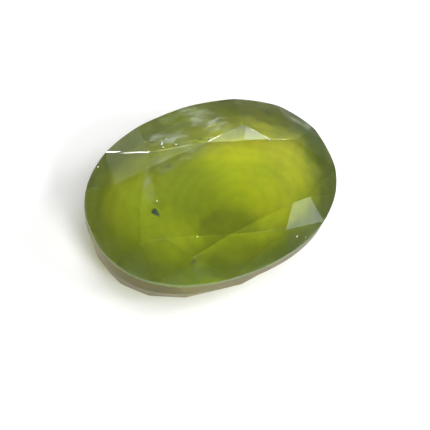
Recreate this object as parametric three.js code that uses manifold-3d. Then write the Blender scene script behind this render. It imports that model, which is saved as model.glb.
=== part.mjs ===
// Oval vesuvianite gemstone, cut by hand as one solid piece of crystal.
//
// Millimetres, +Z up, +X along the stone. The stone stands on its flat bottom facet, the culet, with its
// large top facet, the table, level. The origin is on the culet's plane, under the middle of the girdle.
//
// It is made the way a cutter makes it. A preform is turned to an oval with a thin girdle band and a
// full belly below it. Then each facet is ground off as one flat cut: eight kites, eight stars and sixteen
// upper girdle facets round the table, and three rows of belly facets down to the culet.

import * as THREE from 'three';
import { mergeVertices } from 'three/addons/utils/BufferGeometryUtils.js';
import Module from 'manifold-3d';

// Heights
const CROWN_HEIGHT = 1.4;
const GIRDLE_BAND = 0.28;
const CULET_DEPTH = 4.45;

// Ovals of the stone, from the girdle down. Each has its depth below the girdle band, its length and
// width, its fullness (2 is an ellipse, more is squarer), and how far its middle has drifted off the
// stone's axis, because the belly hangs to one side and the culet was cut off centre.
const GIRDLE = { depth: 0, length: 14.0, width: 10.1, fullness: 2.18, driftX: 0, driftY: 0 };
const SHOULDER = { depth: 1.0, length: 13.6, width: 9.65, fullness: 2.3, driftX: -0.05, driftY: -0.12 };
const BELLY = { depth: 2.0, length: 12.95, width: 8.75, fullness: 2.36, driftX: -0.1, driftY: -0.22 };
const LOWER_BELLY = { depth: 3.15, length: 11.3, width: 7.5, fullness: 2.3, driftX: 0.1, driftY: -0.45 };
const KEEL = { depth: 3.95, length: 8.2, width: 5.6, fullness: 2.2, driftX: 0.4, driftY: -0.8 };
const CULET = { depth: CULET_DEPTH, length: 3.7, width: 3.45, fullness: 2.0, driftX: 0.6, driftY: -1.03 };
const FACETS_IN_A_ROW = 16;

// The eight kites, anticlockwise from the right-hand end, seen from above. The tip of each touches the
// girdle, and it rises from there to a corner of the table. Facing and slope are in degrees. Lean is how
// far the corner lies to the left of the line straight up from the tip, seen from outside. Ridge height
// is where its edge with the next kite ends, above the girdle, cut off by the star between them.
const KITES = [
  { facing: -16, slope: 26.5, lean: 0.3, ridgeHeight: 1.08 },
  { facing: 47, slope: 25.5, lean: 0.1, ridgeHeight: 1.18 },
  { facing: 87, slope: 25.5, lean: -0.15, ridgeHeight: 1.16 },
  { facing: 118, slope: 29, lean: 0.05, ridgeHeight: 0.98 },
  { facing: 175, slope: 29.5, lean: -0.25, ridgeHeight: 1.1 },
  { facing: 235, slope: 36.5, lean: 0.05, ridgeHeight: 1.0 },
  { facing: 265, slope: 37, lean: -0.25, ridgeHeight: 1.02 },
  { facing: 302, slope: 38.5, lean: 0.8, ridgeHeight: 1.0 },
];

// Finish
const STONE_COLOUR = 0x8a9a2c;
const STONE_ROUGHNESS = 0.06;

// Fineness of the preform's outline, room for the cutting block, and how close shared corners are
const OUTLINE_SEGMENTS = 180;
const BLOCK_SIZE = 60;
const MERGE_DISTANCE = 1e-5;

const GIRDLE_BOTTOM = CULET_DEPTH;
const GIRDLE_TOP = GIRDLE_BOTTOM + GIRDLE_BAND;
const TABLE_HEIGHT = GIRDLE_TOP + CROWN_HEIGHT;
const HEART = new THREE.Vector3(0, 0, GIRDLE_BOTTOM);
const UP = new THREE.Vector3(0, 0, 1);

const wasm = await Module();
wasm.setup();

// The item after another in a ring of items
function nextOf(ring, i) {
  return ring[(i + 1) % ring.length];
}

// Level direction at a turn in radians, anticlockwise from +X
function levelDirection(turn) {
  return new THREE.Vector3(Math.cos(turn), Math.sin(turn), 0);
}

// A level direction turned a quarter turn anticlockwise
function quarterTurned(direction) {
  return new THREE.Vector3(-direction.y, direction.x, 0);
}

function heightOf(oval) {
  return GIRDLE_BOTTOM - oval.depth;
}

// A signed power keeps the sign of what it is given
function signedPower(value, power) {
  return Math.sign(value) * Math.abs(value) ** power;
}

// Point of an oval at a turn in radians
function ovalPoint(oval, turn) {
  const x = (oval.length / 2) * signedPower(Math.cos(turn), 2 / oval.fullness);
  const y = (oval.width / 2) * signedPower(Math.sin(turn), 2 / oval.fullness);
  return new THREE.Vector3(x + oval.driftX, y + oval.driftY, heightOf(oval));
}

// Where a flat facet that faces a level direction touches an oval
function touchPoint(oval, facing) {
  const sharpness = 1 / (oval.fullness - 1);
  const alongX = signedPower(oval.length * facing.x, sharpness);
  const alongY = signedPower(oval.width * facing.y, sharpness);
  const sum = Math.abs(alongX) ** oval.fullness + Math.abs(alongY) ** oval.fullness;
  const reach = sum ** (1 / oval.fullness);
  const x = (oval.length / 2) * (alongX / reach);
  const y = (oval.width / 2) * (alongY / reach);
  return new THREE.Vector3(x + oval.driftX, y + oval.driftY, heightOf(oval));
}

// Where a facet touches the upper edge of the girdle
function girdleTouch(facing) {
  return touchPoint(GIRDLE, facing).setZ(GIRDLE_TOP);
}

// Merges shared corners and hands a closed geometry over as a solid
function toSolid(geometry) {
  geometry.deleteAttribute('normal');
  geometry.deleteAttribute('uv');
  const merged = mergeVertices(geometry, MERGE_DISTANCE);
  const vertProperties = new Float32Array(merged.attributes.position.array);
  const triVerts = new Uint32Array(merged.index.array);
  return new wasm.Manifold(new wasm.Mesh({ numProp: 3, vertProperties, triVerts }));
}

function toGeometry(solid) {
  const mesh = solid.getMesh();
  const geometry = new THREE.BufferGeometry();
  geometry.setAttribute('position', new THREE.BufferAttribute(new Float32Array(mesh.vertProperties), 3));
  geometry.setIndex(new THREE.BufferAttribute(new Uint32Array(mesh.triVerts), 1));
  return geometry;
}

// The preform: a drum of radius 1 is turned, and each of its rings is pressed to an oval. Above the girdle
// and below the belly it goes straight on, which leaves the stuff that the facets are cut from.
function preform() {
  const rings = [
    { oval: BELLY, height: 0 },
    { oval: BELLY, height: heightOf(BELLY) },
    { oval: SHOULDER, height: heightOf(SHOULDER) },
    { oval: GIRDLE, height: heightOf(GIRDLE) },
    { oval: GIRDLE, height: TABLE_HEIGHT },
  ];
  const side = rings.map((ring, level) => new THREE.Vector2(1, level));
  const profile = [new THREE.Vector2(0, 0), ...side, new THREE.Vector2(0, rings.length - 1)];
  const geometry = new THREE.LatheGeometry(profile, OUTLINE_SEGMENTS);
  geometry.rotateX(Math.PI / 2);
  const points = geometry.attributes.position;
  for (let i = 0; i < points.count; i += 1) {
    const { oval, height } = rings[Math.round(points.getZ(i))];
    const radius = Math.hypot(points.getX(i), points.getY(i));
    const pressed = ovalPoint(oval, Math.atan2(points.getY(i), points.getX(i))).multiplyScalar(radius);
    points.setXYZ(i, pressed.x, pressed.y, height);
  }
  return toSolid(geometry);
}

// Plane through a point, facing a direction
function planeAt(point, facing) {
  return new THREE.Plane().setFromNormalAndCoplanarPoint(facing, point);
}

// Plane through three points, facing away from the stone's heart
function planeThrough(a, b, c) {
  const plane = new THREE.Plane().setFromCoplanarPoints(a, b, c);
  return plane.distanceToPoint(HEART) > 0 ? plane.negate() : plane;
}

// The point that three planes share
function meetPoint(a, b, c) {
  const beside = new THREE.Vector3().crossVectors(b.normal, c.normal);
  const share = a.normal.dot(beside);
  return beside
    .multiplyScalar(-a.constant)
    .addScaledVector(new THREE.Vector3().crossVectors(c.normal, a.normal), -b.constant)
    .addScaledVector(new THREE.Vector3().crossVectors(a.normal, b.normal), -c.constant)
    .divideScalar(share);
}

function levelPlane(height) {
  return planeAt(new THREE.Vector3(0, 0, height), UP);
}

// A kite with its plane, its tip on the girdle and its corner of the table
function layOutKite({ facing, slope, lean, ridgeHeight }) {
  const outward = levelDirection(THREE.MathUtils.degToRad(facing));
  const tilt = THREE.MathUtils.degToRad(slope);
  const tip = girdleTouch(outward);
  const plane = planeAt(tip, outward.clone().multiplyScalar(Math.sin(tilt)).setZ(Math.cos(tilt)));
  const sideways = quarterTurned(outward);
  const middleLine = planeAt(tip.clone().addScaledVector(sideways, -lean), sideways);
  const corner = meetPoint(plane, middleLine, levelPlane(TABLE_HEIGHT));
  return { plane, tip, corner, ridgeHeight };
}

// The eight star facets, each with its tip on the ridge between two kites
function layOutStar(kite, next) {
  const tip = meetPoint(kite.plane, next.plane, levelPlane(GIRDLE_TOP + kite.ridgeHeight));
  return { tip, plane: planeThrough(kite.corner, next.corner, tip) };
}

// Two upper girdle facets under a star tip, which meet halfway between two kites at the girdle
function upperGirdlePair(star, kite, next) {
  const chord = next.tip.clone().sub(kite.tip).normalize();
  const halfway = girdleTouch(quarterTurned(chord).negate());
  return [planeThrough(star.tip, kite.tip, halfway), planeThrough(star.tip, halfway, next.tip)];
}

function crownPlanes() {
  const kites = KITES.map(layOutKite);
  const stars = kites.map((kite, i) => layOutStar(kite, nextOf(kites, i)));
  const upperGirdle = stars.flatMap((star, i) => upperGirdlePair(star, kites[i], nextOf(kites, i)));
  return [...kites.map((kite) => kite.plane), ...stars.map((star) => star.plane), ...upperGirdle];
}

// One row of belly facets, flat from one oval down to the next
function rowPlanes(upper, lower) {
  return Array.from({ length: FACETS_IN_A_ROW }, (_, i) => {
    const turn = ((i + 0.5) * 2 * Math.PI) / FACETS_IN_A_ROW;
    const facing = new THREE.Vector3(Math.cos(turn) / GIRDLE.length, Math.sin(turn) / GIRDLE.width, 0);
    facing.normalize();
    const top = touchPoint(upper, facing);
    return planeThrough(top, top.clone().add(quarterTurned(facing)), touchPoint(lower, facing));
  });
}

function bellyPlanes() {
  return [...rowPlanes(BELLY, LOWER_BELLY), ...rowPlanes(LOWER_BELLY, KEEL), ...rowPlanes(KEEL, CULET)];
}

// A block that takes off everything outside a plane
function cuttingBlock(plane) {
  const block = new THREE.BoxGeometry(BLOCK_SIZE, BLOCK_SIZE, BLOCK_SIZE);
  block.translate(0, 0, BLOCK_SIZE / 2);
  block.applyQuaternion(new THREE.Quaternion().setFromUnitVectors(UP, plane.normal));
  const foot = plane.projectPoint(HEART, new THREE.Vector3());
  block.translate(foot.x, foot.y, foot.z);
  return toSolid(block);
}

function cutStone() {
  const planes = [...crownPlanes(), ...bellyPlanes()];
  return planes.reduce((stone, plane) => stone.subtract(cuttingBlock(plane)), preform());
}

function gemstone() {
  const material = new THREE.MeshStandardMaterial({
    color: STONE_COLOUR,
    roughness: STONE_ROUGHNESS,
    metalness: 0,
    flatShading: true,
  });
  const mesh = new THREE.Mesh(toGeometry(cutStone()), material);
  mesh.name = 'gemstone';
  return mesh;
}

const part = new THREE.Group();
part.add(gemstone());

export default part;
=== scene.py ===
"""Looks of the oval vesuvianite gemstone: the cut crystal, what has grown inside it, and the stage.

Lengths that a user sets are in millimetres here and metres in Blender. The stone stands on its culet at
the origin, with its table level and its length along X.
"""

import math

import bmesh
import bpy
from bpy.props import FloatProperty, FloatVectorProperty, PointerProperty
from mathutils import Euler, Matrix, Vector, noise
from mathutils.bvhtree import BVHTree


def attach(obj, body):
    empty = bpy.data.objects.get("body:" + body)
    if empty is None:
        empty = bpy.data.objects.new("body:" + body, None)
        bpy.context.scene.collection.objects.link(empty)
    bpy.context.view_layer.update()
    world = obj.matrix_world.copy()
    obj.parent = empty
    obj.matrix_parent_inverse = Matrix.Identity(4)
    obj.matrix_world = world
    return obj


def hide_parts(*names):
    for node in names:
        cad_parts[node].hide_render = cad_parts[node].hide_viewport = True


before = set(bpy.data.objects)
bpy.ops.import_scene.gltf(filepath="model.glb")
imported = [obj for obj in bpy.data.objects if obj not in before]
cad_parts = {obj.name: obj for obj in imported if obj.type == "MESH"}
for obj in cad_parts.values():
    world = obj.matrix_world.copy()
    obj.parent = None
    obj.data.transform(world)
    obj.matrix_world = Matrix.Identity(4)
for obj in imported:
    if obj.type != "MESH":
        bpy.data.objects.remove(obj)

bl_info = {
    "name": "Vesuvianite Gemstone",
    "version": (1, 0, 0),
    "blender": (4, 5, 0),
    "location": "3D View > Sidebar > Gemstone",
    "description": "Dresses an oval faceted vesuvianite stone and sets it on a plain stage",
    "category": "Add Mesh",
}

NODE = "gemstone"
MILLIMETRE = 0.001

# Corners of the stone that are one point, and faces that are one facet
SAME_POINT = 0.0005
SAME_FACET = math.radians(0.6)

# Half the stone's length and width
HALF_LENGTH = 7.0
HALF_WIDTH = 5.05

# Only edges between facets larger than this, in square millimetres, and above this height are worn
SMALL_FACE = 0.4
CROWN_FOOT = 4.6

# The well worn edges lie behind this line, and either near the table or left of this one
WORN_BEHIND = 0.8
WORN_REACH = 0.75
WORN_LEFT = -2.0

# Steps and shape of a worn edge's rounding
WEAR_STEPS = 2
ROUND_PROFILE = 0.5

# Heights at which the girdle ends and the crown's polish starts
GIRDLE_FOOT = 4.4
POLISH_START = 4.68
BLEND = 0.05

# Where a tint or a veil starts and where it is full, counted from the stone's axis: 1 is on the outline
RIM_TINT = (0.76, 0.94)
RIM_VEIL = (0.86, 0.96)
EDGE_TINT = (0.95, 0.99)

# The same for the edge's tint across the stone, from front to back
EDGE_ACROSS = (-1.0, 1.0)

# The same for a soft patch, counted from its middle: 1 is on its oval
PATCH_REACH = (1.2, 0.4)

# The same for the painted shade at the foot, a dark oval that stands in for the shadowed paper under the
# culet, from its middle and in height
SHADE_REACH = (1.12, 0.88)
SHADE_HEIGHT = (0.6, 0.2)

# How tall the ovals are: without end
ENDLESS = 1e6

# How far the outlines of patches are bent, and the noise that bends them
BEND = 0.8
BEND_NOISE = {"Scale": 0.9, "Detail": 2.0}

# The mottling's noise, and between which values of it the mottling comes in
MOTTLE_NOISE = {"Scale": 1.8, "Detail": 4.0}
MOTTLE_RANGE = (0.4, 0.65)

# How closely the growth bands follow one another
GROWTH_BANDS = 16.0

# The veils' streaks: noise, range as above, turn, closeness, strength, and the strength between them
STREAK_NOISE = {"Scale": 1.0, "Detail": 5.0, "Roughness": 0.6}
STREAK_RANGE = (0.4, 0.7)
STREAK_TURN = 2.2
STREAK_CLOSENESS = (1.1, 3.2, 1.1)
STREAK_STRENGTH = 1.2
BETWEEN_STREAKS = 0.2
VEIL_ROUGHNESS = 0.5

# Turns of ovals, seen from above, from the stone's length: with the colour zones, and along an edge
ALONG_ZONES = math.radians(-22)
ALONG_RIGHT_RIM = math.radians(-62)
ALONG_FRONT_RIM = math.radians(16)
ALONG_BACK_RIM = math.radians(-49)
ALONG_TABLE_EDGE = math.radians(5)

# Clear bright patches: middle, radii, turn and strength
CLEAR_PATCHES = {
    "back": ((2.5, 0.95), (3.0, 1.0), ALONG_ZONES, 1.0),
    "right": ((4.4, -0.5), (0.9, 2.0), ALONG_ZONES, 0.7),
    "beside_shade": ((2.2, -2.3), (1.4, 1.4), ALONG_ZONES, 0.6),
    "behind_star": ((3.6, 2.35), (1.1, 0.4), ALONG_BACK_RIM, 1.0),
    "back_right": ((4.9, 2.9), (1.9, 0.9), ALONG_BACK_RIM, 1.0),
}

# Soft patches of deeper colour, the first of them painted shade: middle, radii, turn and the red, green
# and blue that they let through
DEEP_PATCHES = {
    # Painted shade: the first patch darkens the left middle of the crown, where the paper under the stone
    # lies in shadow
    "painted_shade_heart": ((-1.7, -0.1), (2.6, 2.3), ALONG_ZONES, (0.4, 0.46, 0.9)),
    "left": ((-4.8, -1.2), (1.7, 2.6), ALONG_ZONES, (0.74, 0.8, 0.95)),
    "back_left": ((-3.4, 3.0), (1.6, 1.7), ALONG_ZONES, (0.5, 0.56, 0.7)),
    "back": ((-0.7, 3.3), (2.4, 1.3), ALONG_ZONES, (0.5, 0.58, 0.75)),
    "table_edge": ((-1.5, 1.95), (1.9, 0.65), ALONG_TABLE_EDGE, (0.7, 0.74, 0.95)),
    "right_end": ((6.1, 0.2), (0.8, 1.9), ALONG_ZONES, (0.66, 0.8, 0.72)),
    "front_left": ((-2.7, -3.9), (1.5, 1.0), ALONG_ZONES, (0.6, 0.65, 0.9)),
    "front_right": ((2.3, -4.4), (1.8, 0.8), ALONG_FRONT_RIM, (0.72, 0.78, 0.8)),
    "brown_tip": ((4.1, 3.5), (1.2, 0.6), ALONG_BACK_RIM, (1.0, 0.86, 0.75)),
}

# Whitish veils of fine cracks, and one painted reflection: middle, radii, turn and strength
VEILS = {
    "broad": ((-0.4, 3.2), (3.4, 1.7), ALONG_ZONES, 0.06),
    "feather": ((1.25, 3.7), (1.7, 0.8), ALONG_RIGHT_RIM, 0.32),
    "strip": ((-3.6, 0.9), (0.35, 1.1), ALONG_ZONES, 0.1),
    "table_edge": ((-1.5, 1.95), (1.9, 0.65), ALONG_TABLE_EDGE, 0.09),
    "streaks": ((-1.1, 3.3), (1.3, 0.6), ALONG_ZONES, 0.2),
    # Painted reflection: a pale sliver where an upper girdle facet at the back right mirrors light
    "painted_sliver_reflection": ((6.15, 2.2), (1.9, 0.25), ALONG_RIGHT_RIM, 0.22),
    "front_veil": ((-3.0, -4.1), (0.4, 0.7), ALONG_ZONES, 0.04),
}

# Grains in the crystal: middle, size, length as a multiple of the size, and turn
DARK_GRAINS = {
    "large": ((-3.8, -0.45), 0.17, 1.0, 0.4),
    "beside_large": ((-3.72, -0.68), 0.08, 1.2, 2.0),
    "left": ((-1.99, 1.62), 0.07, 1.2, 1.9),
    "back": ((0.34, 2.62), 0.08, 1.0, 0.0),
    "dash": ((-3.1, -3.75), 0.07, 2.5, 0.9),
}
# Pale chips, and pale marks painted where the crown glints: the same columns
PALE_CHIPS_AND_PAINTED_GLINTS = {
    "beside_large": ((-3.5, -0.03), 0.04, 1.2, 0.3),
    "back_left": ((-1.67, 3.09), 0.07, 1.8, 0.9),
    "back_left_low": ((-1.75, 2.8), 0.04, 1.5, 2.4),
    "back": ((-1.05, 2.69), 0.05, 1.6, 2.2),
    "back_upper": ((-1.3, 3.3), 0.03, 1.4, 0.2),
    # Painted glints: pale marks where the crown sparkles, here and in the next two
    "left_end_painted_glint": ((-5.11, 3.48), 0.05, 1.0, 0.0),
    "front_right": ((2.87, -4.28), 0.04, 1.5, 0.5),
    "front_rim_painted_glint": ((3.42, -4.36), 0.03, 1.2, 1.2),
    # Painted glint: a pale mark where the worn table corner glints
    "table_corner_painted_glint": ((3.66, 1.03), 0.07, 1.0, 0.0),
    "star_corner": ((0.8, 2.3), 0.04, 1.6, 0.4),
    # Painted glint: a pale mark where a dot glints at the table's front corner
    "front_corner_painted_glint": ((-2.43, -2.67), 0.03, 1.0, 0.0),
}

# A grain's thickness as a share of its size, how closely its bumps follow one another, and how finely
# a dark grain and a pale chip are divided
GRAIN_THICKNESS = 0.7
GRAIN_BUMPS = 1.2
DARK_DIVISIONS = 3
PALE_DIVISIONS = 2

# The speckle on the grains: noise, range as above, and how dark it is
SPECKLE_NOISE = {"Scale": 9.0, "Detail": 3.0}
SPECKLE_RANGE = (0.35, 0.65)
SPECKLE_SHADE = 0.6
DARK_ROUGHNESS = 0.6
PALE_ROUGHNESS = 0.2

# Height from which the crown is felt for, to place a grain
FAR_ABOVE = 2 * HALF_LENGTH


class CrystalSettings(bpy.types.PropertyGroup):
    """The cut stone and its crystal."""

    heavy_wear: FloatProperty(
        name="Heavy Wear",
        description="Width of the rounding on the most worn edge, at the back left, in millimetres",
        default=0.2,
        min=0.0,
        max=0.3,
    )
    edge_wear: FloatProperty(
        name="Edge Wear",
        description="Width of the rounding on the worn edges at the back of the table, in millimetres",
        default=0.07,
        min=0.0,
        max=0.3,
    )
    light_wear: FloatProperty(
        name="Light Wear",
        description="Width of the rounding on all other edges of the crown, in millimetres",
        default=0.008,
        min=0.0,
        max=0.3,
    )
    crisp_angle: FloatProperty(
        name="Crisp Angle",
        description="Two faces that meet at more than this are separate facets",
        default=math.radians(3.5),
        subtype="ANGLE",
    )
    body_colour: FloatVectorProperty(
        name="Body Colour",
        description="Tint that light takes on as it enters and leaves the crystal",
        default=(1.0, 0.96, 0.8),
        subtype="COLOR",
        min=0.0,
        max=1.0,
    )
    rim_colour: FloatVectorProperty(
        name="Rim Colour",
        description="Tint of the deeper green zone round the crown's rim",
        default=(0.39, 0.46, 0.6),
        subtype="COLOR",
        min=0.0,
        max=1.0,
    )
    cloud_colour: FloatVectorProperty(
        name="Cloud Colour",
        description="Tint of the crown outside the clear patches",
        default=(0.58, 0.63, 0.9),
        subtype="COLOR",
        min=0.0,
        max=1.0,
    )
    edge_colour: FloatVectorProperty(
        name="Edge Colour",
        description="Brownish tint of the crown's outermost edge at the back",
        default=(0.92, 0.8, 0.7),
        subtype="COLOR",
        min=0.0,
        max=1.0,
    )
    mottle_colour: FloatVectorProperty(
        name="Mottle Colour",
        description="Tint of the faint mottling and growth bands",
        default=(0.87, 0.9, 0.94),
        subtype="COLOR",
        min=0.0,
        max=1.0,
    )
    depth_colour: FloatVectorProperty(
        name="Depth Colour",
        description="Colour that the crystal leaves in light that has gone through it",
        default=(0.945, 0.98, 0.0),
        subtype="COLOR",
        min=0.0,
        max=1.0,
    )
    absorption: FloatProperty(
        name="Absorption",
        description="How strongly the crystal takes colour out of light, per metre",
        default=400.0,
        min=0.0,
    )
    refraction: FloatProperty(
        name="Refractive Index",
        description="Refractive index of vesuvianite",
        default=1.715,
        min=1.0,
        max=3.0,
    )
    softness: FloatProperty(
        name="Softness",
        description="How much the fine cloud in the crystal blurs what is seen through it",
        default=0.3,
        subtype="FACTOR",
        min=0.0,
        max=1.0,
    )
    belly_roughness: FloatProperty(
        name="Belly Roughness",
        description="Roughness of the belly, which was ground but hardly polished",
        default=0.4,
        subtype="FACTOR",
        min=0.0,
        max=1.0,
    )
    gloss: FloatProperty(
        name="Gloss",
        description="Roughness of the polish on the crown",
        default=0.02,
        subtype="FACTOR",
        min=0.0,
        max=1.0,
    )
    wall_colour: FloatVectorProperty(
        name="Wall Colour",
        description="Tint of the ground wall below the girdle",
        default=(0.17, 0.085, 0.02),
        subtype="COLOR",
        min=0.0,
        max=1.0,
    )
    wall_low: FloatProperty(
        name="Wall Low",
        description="Height at which the wall's tint starts, in millimetres",
        default=0.6,
        min=0.0,
    )
    wall_high: FloatProperty(
        name="Wall High",
        description="Height at which the wall's tint is full, in millimetres",
        default=1.9,
        min=0.0,
    )
    # Painted shade: the dark oval at the foot stands in for the shadowed paper under the culet; its middle
    # also centres the growth bands
    shade_centre: FloatVectorProperty(
        name="Shade Centre",
        description="Middle of the dark oval at the stone's foot, in millimetres",
        default=(0.45, -1.8),
        size=2,
    )
    shade_radii: FloatVectorProperty(
        name="Shade Radii",
        description="Half the length and the width of the dark oval, in millimetres",
        default=(1.7, 1.4),
        size=2,
    )
    shade_colour: FloatVectorProperty(
        name="Shade Colour",
        description="Tint of the dark oval",
        default=(0.52, 0.52, 0.5),
        subtype="COLOR",
        min=0.0,
        max=1.0,
    )
    # Also the colour of the pale sliver painted as a reflection
    veil_colour: FloatVectorProperty(
        name="Veil Colour",
        description="Colour of the veils of fine cracks",
        default=(0.6, 0.7, 0.6),
        subtype="COLOR",
        min=0.0,
        max=1.0,
    )
    haze: FloatProperty(
        name="Haze",
        description="Strength of the faint haze all over the crown",
        default=0.004,
        subtype="FACTOR",
        min=0.0,
        max=1.0,
    )
    rim_veil: FloatProperty(
        name="Rim Veil",
        description="Strength of the faint veil along the whole rim",
        default=0.03,
        subtype="FACTOR",
        min=0.0,
        max=1.0,
    )
    girdle_veil: FloatProperty(
        name="Girdle Veil",
        description="How pale and opaque the ground girdle is",
        default=0.07,
        subtype="FACTOR",
        min=0.0,
        max=1.0,
    )


class GrainSettings(bpy.types.PropertyGroup):
    """Dark grains, pale chips and pale marks painted where the crown glints, in the crystal."""

    grain_depth: FloatProperty(
        name="Grain Depth",
        description="How far the dark grains' tops lie under the facet above them, in millimetres",
        default=0.3,
    )
    # Also sets how deep the painted glints lie
    chip_and_painted_glint_depth: FloatProperty(
        name="Chip Depth",
        description="The same for the pale chips, which break the surface where it is below zero",
        default=-0.03,
    )
    unevenness: FloatProperty(
        name="Unevenness",
        description="How far a grain departs from a ball, as a share of its size",
        default=0.35,
        subtype="FACTOR",
        min=0.0,
        max=1.0,
    )
    dark_colour: FloatVectorProperty(
        name="Dark Colour",
        description="Colour of the dark grains",
        default=(0.2, 0.42, 0.3),
        subtype="COLOR",
        min=0.0,
        max=1.0,
    )
    # Also the colour of the pale marks painted where the crown glints
    pale_colour: FloatVectorProperty(
        name="Pale Colour",
        description="Colour of the pale chips",
        default=(0.7, 0.75, 0.66),
        subtype="COLOR",
        min=0.0,
        max=1.0,
    )


class StageSettings(bpy.types.PropertyGroup):
    """The floor, the lights and the camera."""

    floor_size: FloatProperty(
        name="Floor Size",
        description="Side of the square floor",
        default=0.2,
        unit="LENGTH",
    )
    floor_gap: FloatProperty(
        name="Floor Gap",
        description="How far the floor lies below the culet, so that light gets between them",
        default=0.00002,
        unit="LENGTH",
    )
    floor_colour: FloatVectorProperty(
        name="Floor Colour",
        description="Colour of the paper that the stone stands on",
        default=(0.9, 0.9, 0.9),
        subtype="COLOR",
        min=0.0,
        max=1.0,
    )
    room_light: FloatProperty(
        name="Room Light",
        description="Strength of the even light of the room",
        default=0.12,
        min=0.0,
    )
    camera_distance: FloatProperty(
        name="Camera Distance",
        description="From the camera to the stone",
        default=0.12,
        unit="LENGTH",
    )
    camera_elevation: FloatProperty(
        name="Camera Elevation",
        description="Height of the camera above the horizon",
        default=math.radians(63.0),
        subtype="ANGLE",
    )
    camera_azimuth: FloatProperty(
        name="Camera Azimuth",
        description="Turn of the camera about the stone, anticlockwise from its right-hand end",
        default=math.radians(-134.1),
        subtype="ANGLE",
    )
    camera_roll: FloatProperty(
        name="Camera Roll",
        description="Tilt of the camera about its own line of sight",
        default=math.radians(20.0),
        subtype="ANGLE",
    )
    field_of_view: FloatProperty(
        name="Field of View",
        description="Angle that the picture spans",
        default=math.radians(10.87),
        subtype="ANGLE",
    )
    sky_colour: FloatVectorProperty(
        name="Sky Colour",
        description="Colour of the pale panels, which give single facets their cool gloss",
        default=(0.8, 0.92, 1.0),
        subtype="COLOR",
        min=0.0,
        max=1.0,
    )


# The point that the camera looks at, and the nearest that it sees, as a share of its distance
CAMERA_TARGET = Vector((-0.32, -1.18, 4.18)) * MILLIMETRE
NEAREST_SEEN = 0.1

# How dull the paper is
PAPER_ROUGHNESS = 0.9
PAPER_SHEEN = 0.1

# How often light may turn inside the stone, and off polished faces
BOUNCES = 24
GLOSSY_BOUNCES = 12

# Distance of every lamp from the stone, in metres
LAMP_DISTANCE = 0.7

# Soft lights round the stone: name, azimuth, elevation, width, height and brightness
SOFTBOXES = (
    ("front_softbox", -120, 71, 0.264, 0.264, 7.6),
    ("front_right_softbox", -91, 48, 0.16, 0.16, 23.0),
    ("left_softbox", -166, 46, 0.31, 0.31, 1.5),
    ("right_softbox", -46, 44, 0.18, 0.18, 11.0),
    ("back_right_softbox", -14, 50, 0.2, 0.2, 12.0),
    ("top_softbox", -170, 86, 0.2, 0.2, 8.8),
)

# Pale panels that single facets mirror
PANELS = (
    ("upper_left_panel", 80, 28, 0.36, 0.25, 0.22),
    ("star_panel", 56, 39.1, 0.1, 0.1, 1.7),
    ("bright_star_panel", 52.2, 39.1, 0.066, 0.1, 2.5),
    ("side_panel", -29, 16, 0.14, 0.14, 1.9),
)

# Small bright lamps that worn edges mirror
GLINTS = (
    ("kite_edge_lamp", 88, 14, 0.06, 0.05, 40),
    ("star_edge_lamp", 63.5, 28, 0.04, 0.1, 18),
    ("right_edge_lamp", 45, 23, 0.2, 0.06, 16),
    ("left_edge_lamp", 70.5, 25, 0.04, 0.05, 5),
)


class Value:
    """A number socket of a node tree. Arithmetic on it adds Math nodes."""

    def __init__(self, nodes, socket):
        self.nodes = nodes
        self.socket = socket

    def apply(self, operation, *values):
        made = self.nodes.add("ShaderNodeMath", {"operation": operation}, dict(enumerate(values)))
        return Value(self.nodes, made.outputs[0])

    def sine(self):
        return self.apply("SINE", self)

    def __add__(self, other):
        return self.apply("ADD", self, other)

    def __mul__(self, other):
        return self.apply("MULTIPLY", self, other)

    def __sub__(self, other):
        return self.apply("SUBTRACT", self, other)

    def __rsub__(self, other):
        return self.apply("SUBTRACT", other, self)


class Nodes:
    """The node tree of one new material."""

    def __init__(self, name):
        self.material = bpy.data.materials.new(name)
        self.material.use_nodes = True
        self.tree = self.material.node_tree
        self.tree.nodes.clear()
        self.output = self.add("ShaderNodeOutputMaterial")

    def add(self, kind, settings=None, inputs=None):
        """Adds a node, sets its settings and then fills or links its sockets."""
        made = self.tree.nodes.new(kind)
        for name, value in (settings or {}).items():
            setattr(made, name, value)
        for name, value in (inputs or {}).items():
            self.feed(made.inputs[name], value)
        return made

    def feed(self, socket, value):
        if isinstance(value, Value):
            value = value.socket
        if isinstance(value, bpy.types.NodeSocket):
            self.tree.links.new(value, socket)
        else:
            socket.default_value = value


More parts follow.
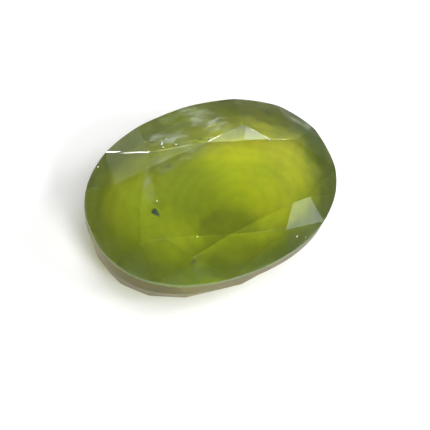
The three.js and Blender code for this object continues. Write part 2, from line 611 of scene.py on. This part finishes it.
class Crystal(Nodes):
    """The crystal's nodes, with masks that are read from the place in the stone."""

    def __init__(self, name):
        super().__init__(name)
        metres = self.add("ShaderNodeTexCoord").outputs["Object"]
        place = self.vector("SCALE", {0: metres, "Scale": 1 / MILLIMETRE})
        axes = self.add("ShaderNodeSeparateXYZ", {}, {"Vector": place})
        self.across, self.height = axes.outputs["Y"], axes.outputs["Z"]
        bend = self.clouds(place, BEND_NOISE).outputs["Color"]
        shift = self.vector("SUBTRACT", {0: bend, 1: (0.5, 0.5, 0.5)})
        self.place = place
        self.bent_place = self.vector("MULTIPLY_ADD", {0: shift, 1: (BEND, BEND, 0.0), 2: place})

    def vector(self, operation, inputs):
        return self.add("ShaderNodeVectorMath", {"operation": operation}, inputs).outputs[0]

    def clouds(self, place, noise_settings):
        return self.add("ShaderNodeTexNoise", {}, {"Vector": place, **noise_settings})

    def ramp(self, value, zero, one):
        """0 at one value and 1 at the other, with soft ends."""
        inputs = {"Value": value, "From Min": zero, "From Max": one}
        made = self.add("ShaderNodeMapRange", {"interpolation_type": "SMOOTHSTEP"}, inputs)
        return Value(self, made.outputs[0])

    def reach(self, place, middle, radii, turn):
        """Distance from an oval's middle, seen from above, where 1 is on the oval."""
        inputs = {
            "Vector": place,
            "Location": (*middle, 0),
            "Rotation": (0, 0, turn),
            "Scale": (*radii, ENDLESS),
        }
        local = self.add("ShaderNodeMapping", {"vector_type": "TEXTURE"}, inputs).outputs[0]
        made = self.add("ShaderNodeVectorMath", {"operation": "LENGTH"}, {0: local})
        return made.outputs["Value"]

    def outline_reach(self, place):
        """Distance from the stone's axis, where 1 is on the outline."""
        return self.reach(place, (0, 0), (HALF_LENGTH, HALF_WIDTH), 0)

    def patch(self, middle, radii, turn):
        return self.ramp(self.reach(self.bent_place, middle, radii, turn), *PATCH_REACH)

    def tinted(self, colour, mask, tint, blend="MIX"):
        inputs = {"Factor": mask, "A": colour, "B": (*tint, 1)}
        mix = self.add("ShaderNodeMix", {"data_type": "RGBA", "blend_type": blend}, inputs)
        return mix.outputs["Result"]

    def deepened(self, colour, mask, tint):
        return self.tinted(colour, mask, tint, "MULTIPLY")


def crystal_tint(nodes, settings, top):
    """The colour at the surface: clear in the middle, deeper at the rim, brown on the wall, with painted
    shade over the left middle of the crown and at the foot.
    """
    wall = nodes.ramp(nodes.height, settings.wall_low, settings.wall_high)
    wall = wall * nodes.ramp(nodes.height, GIRDLE_FOOT + BLEND, GIRDLE_FOOT)
    tint = nodes.tinted((*settings.body_colour, 1), wall, settings.wall_colour)
    cloud = top
    for middle, radii, turn, strength in CLEAR_PATCHES.values():
        cloud = cloud * (1.0 - nodes.patch(middle, radii, turn) * strength)
    tint = nodes.deepened(tint, cloud, settings.cloud_colour)
    rim = nodes.ramp(nodes.outline_reach(nodes.bent_place), *RIM_TINT)
    tint = nodes.deepened(tint, rim * top, settings.rim_colour)
    for middle, radii, turn, colour in DEEP_PATCHES.values():
        tint = nodes.deepened(tint, nodes.patch(middle, radii, turn) * top, colour)
    edge = nodes.ramp(nodes.outline_reach(nodes.place), *EDGE_TINT)
    edge = edge * nodes.ramp(nodes.across, *EDGE_ACROSS)
    tint = nodes.deepened(tint, edge * top, settings.edge_colour)
    mottle = nodes.ramp(nodes.clouds(nodes.place, MOTTLE_NOISE).outputs[0], *MOTTLE_RANGE)
    tint = nodes.deepened(tint, mottle * top, settings.mottle_colour)
    growth = nodes.reach(nodes.bent_place, settings.shade_centre, settings.shade_radii, 0)
    bands = (Value(nodes, growth) * GROWTH_BANDS).sine() * 0.5 + 0.5
    tint = nodes.deepened(tint, bands * top, settings.mottle_colour)
    # Painted contact shade: a dark oval at the foot, where the paper under the culet lies in the stone's
    # shadow
    shade = nodes.reach(nodes.place, settings.shade_centre, settings.shade_radii, 0)
    foot = nodes.ramp(shade, *SHADE_REACH) * nodes.ramp(nodes.height, *SHADE_HEIGHT)
    return nodes.tinted(tint, foot, settings.shade_colour)


def veil_strength(nodes, settings, top, crown):
    """How much of the surface the whitish veils and the painted reflection hide."""
    inputs = {"Vector": nodes.bent_place, "Rotation": (0, 0, STREAK_TURN), "Scale": STREAK_CLOSENESS}
    stretched = nodes.add("ShaderNodeMapping", {}, inputs).outputs[0]
    streaks = nodes.ramp(nodes.clouds(stretched, STREAK_NOISE).outputs[0], *STREAK_RANGE)
    total = nodes.ramp(nodes.outline_reach(nodes.place), *RIM_VEIL) * settings.rim_veil
    for middle, radii, turn, strength in VEILS.values():
        total = total + nodes.patch(middle, radii, turn) * strength
    veils = total * (streaks * STREAK_STRENGTH + BETWEEN_STREAKS)
    girdle = (top - crown) * settings.girdle_veil
    return (veils + settings.haze) * crown + girdle


def crystal_material(settings):
    """Clear crystal with a polished crown, a ground belly and veils that hide a little of it."""
    nodes = Crystal("vesuvianite_crystal")
    top = nodes.ramp(nodes.height, GIRDLE_FOOT, GIRDLE_FOOT + BLEND)
    crown = nodes.ramp(nodes.height, POLISH_START, POLISH_START + BLEND)
    crystal = nodes.add(
        "ShaderNodeBsdfPrincipled",
        {},
        {
            "Base Color": crystal_tint(nodes, settings, top),
            "Roughness": settings.belly_roughness - crown * (settings.belly_roughness - settings.softness),
            "IOR": settings.refraction,
            "Transmission Weight": 1.0,
            "Specular Tint": (0.0, 0.0, 0.0, 1.0),
            "Coat Weight": crown,
            "Coat Roughness": settings.gloss,
            "Coat IOR": settings.refraction,
        },
    )
    film = nodes.add(
        "ShaderNodeBsdfPrincipled",
        {},
        {
            "Base Color": (*settings.veil_colour, 1),
            "Roughness": VEIL_ROUGHNESS,
            "IOR": settings.refraction,
        },
    )
    inputs = {0: veil_strength(nodes, settings, top, crown), 1: crystal.outputs[0], 2: film.outputs[0]}
    surface = nodes.add("ShaderNodeMixShader", {}, inputs)
    inside = nodes.add(
        "ShaderNodeVolumeAbsorption",
        {},
        {"Color": (*settings.depth_colour, 1), "Density": settings.absorption},
    )
    nodes.feed(nodes.output.inputs["Surface"], surface.outputs[0])
    nodes.feed(nodes.output.inputs["Volume"], inside.outputs[0])
    return nodes.material


def grain_material(name, colour, roughness):
    """A mineral grain whose colour varies a little from place to place."""
    nodes = Crystal(name)
    speckle = nodes.ramp(nodes.clouds(nodes.place, SPECKLE_NOISE).outputs[0], *SPECKLE_RANGE)
    tint = nodes.tinted((*colour, 1), speckle, [value * SPECKLE_SHADE for value in colour])
    inputs = {"Base Color": tint, "Roughness": roughness}
    surface = nodes.add("ShaderNodeBsdfPrincipled", {}, inputs)
    nodes.feed(nodes.output.inputs["Surface"], surface.outputs[0])
    return nodes.material


def finish_piece(name, bm, material):
    """Makes an object of a mesh in millimetres, in its place, and lets it ride on the stone's body."""
    bmesh.ops.scale(bm, vec=(MILLIMETRE,) * 3, verts=bm.verts)
    mesh = bpy.data.meshes.new(name)
    bm.to_mesh(mesh)
    bm.free()
    mesh.materials.append(material)
    piece = bpy.data.objects.new(name, mesh)
    bpy.context.scene.collection.objects.link(piece)
    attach(piece, "root")
    return piece


def cut_crystal(settings):
    """The stone's facets as whole faces, with their edges worn round."""
    bm = bmesh.new()
    bm.from_mesh(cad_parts[NODE].data)
    bmesh.ops.scale(bm, vec=(1 / MILLIMETRE,) * 3, verts=bm.verts)
    bmesh.ops.remove_doubles(bm, verts=bm.verts, dist=SAME_POINT)
    bmesh.ops.dissolve_limit(bm, angle_limit=SAME_FACET, verts=bm.verts, edges=bm.edges)
    for face in bm.faces:
        face.smooth = False
    for wear in ("heavy_wear", "edge_wear", "light_wear"):
        wear_edges(bm, settings, wear)
    bmesh.ops.dissolve_degenerate(bm, dist=SAME_POINT, edges=bm.edges)
    return bm


def wear_of(middle):
    """Which wear an edge gets, from its middle."""
    reach = math.hypot(middle.x / HALF_LENGTH, middle.y / HALF_WIDTH)
    if middle.y < WORN_BEHIND:
        return "light_wear"
    if middle.x < WORN_LEFT:
        return "heavy_wear"
    return "edge_wear" if reach < WORN_REACH else "light_wear"


def wear_edges(bm, settings, wear):
    """Rounds the crown's edges that get this wear."""

    def is_worn(edge):
        facets = edge.link_faces
        ends = [corner.co for corner in edge.verts]
        return (
            edge.calc_face_angle(0.0) > settings.crisp_angle
            and min(face.calc_area() for face in facets) > SMALL_FACE
            and min(end.z for end in ends) > CROWN_FOOT
            and wear_of((ends[0] + ends[1]) / 2) == wear
        )

    rounded = bmesh.ops.bevel(
        bm,
        geom=[edge for edge in bm.edges if is_worn(edge)],
        offset=getattr(settings, wear),
        offset_type="WIDTH",
        affect="EDGES",
        segments=WEAR_STEPS,
        profile=ROUND_PROFILE,
        material=-1,
    )
    for face in rounded["faces"]:
        face.smooth = True


class GEMSTONE_OT_crystal(bpy.types.Operator):
    """Make the cut stone, with worn edges and a clear green crystal"""

    bl_idname = "gemstone.crystal"
    bl_label = "Cut Stone"
    bl_options = {"REGISTER", "UNDO"}

    def execute(self, context):
        settings = context.scene.gemstone_crystal
        stone = finish_piece("cut_stone", cut_crystal(settings), crystal_material(settings))
        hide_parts(NODE)
        return {"FINISHED"}


def grow_grains(grains, settings, depth, divisions):
    """Uneven grains that lie at the crown's facets, each with its flat side along its facet."""
    bm = bmesh.new()
    bm.from_mesh(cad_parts[NODE].data)
    bmesh.ops.scale(bm, vec=(1 / MILLIMETRE,) * 3, verts=bm.verts)
    stone = BVHTree.FromBMesh(bm)
    bm.clear()
    for (x, y), size, length, turn in grains.values():
        surface, outwards, _, _ = stone.ray_cast(Vector((x, y, FAR_ABOVE)), Vector((0, 0, -1)))
        thickness = size * GRAIN_THICKNESS
        middle = surface - outwards * (depth + thickness)
        lie = outwards.to_track_quat("Z", "Y").to_matrix().to_4x4()
        place = Matrix.Translation(middle) @ lie @ Euler((0, 0, turn)).to_matrix().to_4x4()
        shape = Matrix.Diagonal((size * length, size, thickness, 1))
        ball = bmesh.ops.create_icosphere(bm, subdivisions=divisions, radius=1, matrix=place @ shape)
        for corner in ball["verts"]:
            bump = noise.noise(corner.co * (GRAIN_BUMPS / size)) * settings.unevenness
            corner.co += (corner.co - middle) * bump
    return bm


class GEMSTONE_OT_dark_grains(bpy.types.Operator):
    """Add the dark mineral grains that are caught under the crown"""

    bl_idname = "gemstone.dark_grains"
    bl_label = "Dark Grains"
    bl_options = {"REGISTER", "UNDO"}

    def execute(self, context):
        settings = context.scene.gemstone_grains
        material = grain_material("dark_mineral", settings.dark_colour, DARK_ROUGHNESS)
        grains = grow_grains(DARK_GRAINS, settings, settings.grain_depth, DARK_DIVISIONS)
        finish_piece("dark_grains", grains, material)
        return {"FINISHED"}


class GEMSTONE_OT_chips_and_painted_glints(bpy.types.Operator):
    """Add the small pale chips and cracks on the crown, and the pale marks painted where it glints"""

    bl_idname = "gemstone.pale_chips"
    bl_label = "Pale Chips"
    bl_options = {"REGISTER", "UNDO"}

    def execute(self, context):
        settings = context.scene.gemstone_grains
        material = grain_material("pale_crack", settings.pale_colour, PALE_ROUGHNESS)
        chips = grow_grains(PALE_CHIPS_AND_PAINTED_GLINTS, settings, settings.chip_and_painted_glint_depth, PALE_DIVISIONS)
        finish_piece("pale_chips", chips, material)
        return {"FINISHED"}


def add_floor(settings):
    """A square of white paper under the stone."""
    nodes = Nodes("white_paper")
    surface = nodes.add(
        "ShaderNodeBsdfPrincipled",
        {},
        {
            "Base Color": (*settings.floor_colour, 1),
            "Roughness": PAPER_ROUGHNESS,
            "Specular IOR Level": PAPER_SHEEN,
        },
    )
    nodes.feed(nodes.output.inputs["Surface"], surface.outputs[0])
    bm = bmesh.new()
    bmesh.ops.create_grid(bm, x_segments=1, y_segments=1, size=settings.floor_size / 2)
    mesh = bpy.data.meshes.new("floor")
    bm.to_mesh(mesh)
    bm.free()
    mesh.materials.append(nodes.material)
    floor = bpy.data.objects.new("floor", mesh)
    floor.location.z = -settings.floor_gap
    bpy.context.scene.collection.objects.link(floor)


def direction_of(azimuth, elevation):
    """Unit vector at an azimuth, anticlockwise from +X, and an elevation, both in radians."""
    level = math.cos(elevation)
    return Vector((level * math.cos(azimuth), level * math.sin(azimuth), math.sin(elevation)))


def add_softbox(name, azimuth, elevation, width, height, brightness, colour=(1, 1, 1)):
    """A flat soft light that faces the stone, at angles in degrees."""
    light = bpy.data.lights.new(name, "AREA")
    light.color = colour
    light.shape = "RECTANGLE"
    light.size = width
    light.size_y = height
    light.energy = brightness * math.pi * width * height
    towards = direction_of(math.radians(azimuth), math.radians(elevation))
    lamp = bpy.data.objects.new(name, light)
    lamp.location = towards * LAMP_DISTANCE
    lamp.rotation_euler = towards.to_track_quat("Z", "Y").to_euler()
    bpy.context.scene.collection.objects.link(lamp)


def add_room(settings):
    """Even white light from all round."""
    world = bpy.data.worlds.new("room")
    world.use_nodes = True
    background = world.node_tree.nodes["Background"]
    background.inputs["Color"].default_value = (1, 1, 1, 1)
    background.inputs["Strength"].default_value = settings.room_light
    bpy.context.scene.world = world


def add_camera(settings):
    """A camera that looks down at the crown from the front left."""
    camera = bpy.data.cameras.new("camera")
    camera.angle = settings.field_of_view
    camera.clip_start = settings.camera_distance * NEAREST_SEEN
    lens = bpy.data.objects.new("camera", camera)
    turn = Matrix.Rotation(settings.camera_azimuth + math.pi / 2, 4, "Z")
    lean = Matrix.Rotation(math.pi / 2 - settings.camera_elevation, 4, "X")
    roll = Matrix.Rotation(settings.camera_roll, 4, "Z")
    away = direction_of(settings.camera_azimuth, settings.camera_elevation)
    place = Matrix.Translation(CAMERA_TARGET + away * settings.camera_distance)
    lens.matrix_world = place @ turn @ lean @ roll
    bpy.context.scene.collection.objects.link(lens)
    bpy.context.scene.camera = lens


def set_light_paths(scene):
    """Enough bounces for light that goes round inside the stone, and true colours."""
    scene.cycles.max_bounces = BOUNCES
    scene.cycles.transmission_bounces = BOUNCES
    scene.cycles.glossy_bounces = GLOSSY_BOUNCES
    scene.cycles.caustics_refractive = True
    scene.cycles.caustics_reflective = True
    scene.view_settings.view_transform = "Standard"


class GEMSTONE_OT_stage(bpy.types.Operator):
    """Set up the plain floor, the soft lights and the camera"""

    bl_idname = "gemstone.stage"
    bl_label = "Stage"
    bl_options = {"REGISTER", "UNDO"}

    def execute(self, context):
        settings = context.scene.gemstone_stage
        add_floor(settings)
        for softbox in SOFTBOXES + GLINTS:
            add_softbox(*softbox)
        for panel in PANELS:
            add_softbox(*panel, colour=settings.sky_colour)
        add_room(settings)
        add_camera(settings)
        set_light_paths(context.scene)
        return {"FINISHED"}


class GEMSTONE_PT_panel(bpy.types.Panel):
    """Lists the steps and their settings in the sidebar"""

    bl_idname = "GEMSTONE_PT_panel"
    bl_label = "Gemstone"
    bl_space_type = "VIEW_3D"
    bl_region_type = "UI"
    bl_category = "Gemstone"

    def draw(self, context):
        for settings, operators in (
            (context.scene.gemstone_crystal, (GEMSTONE_OT_crystal,)),
            (context.scene.gemstone_grains, (GEMSTONE_OT_dark_grains, GEMSTONE_OT_chips_and_painted_glints)),
            (context.scene.gemstone_stage, (GEMSTONE_OT_stage,)),
        ):
            column = self.layout.column()
            for name in settings.__annotations__:
                column.prop(settings, name)
            for operator in operators:
                column.operator(operator.bl_idname)


CLASSES = (
    CrystalSettings,
    GrainSettings,
    StageSettings,
    GEMSTONE_OT_crystal,
    GEMSTONE_OT_dark_grains,
    GEMSTONE_OT_chips_and_painted_glints,
    GEMSTONE_OT_stage,
    GEMSTONE_PT_panel,
)


def register():
    for cls in CLASSES:
        bpy.utils.register_class(cls)
    bpy.types.Scene.gemstone_crystal = PointerProperty(type=CrystalSettings)
    bpy.types.Scene.gemstone_grains = PointerProperty(type=GrainSettings)
    bpy.types.Scene.gemstone_stage = PointerProperty(type=StageSettings)


def unregister():
    del bpy.types.Scene.gemstone_stage
    del bpy.types.Scene.gemstone_grains
    del bpy.types.Scene.gemstone_crystal
    for cls in reversed(CLASSES):
        bpy.utils.unregister_class(cls)


def main():
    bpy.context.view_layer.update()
    register()
    bpy.ops.gemstone.crystal()
    bpy.ops.gemstone.dark_grains()
    bpy.ops.gemstone.pale_chips()
    bpy.ops.gemstone.stage()


if __name__ == "__main__":
    main()
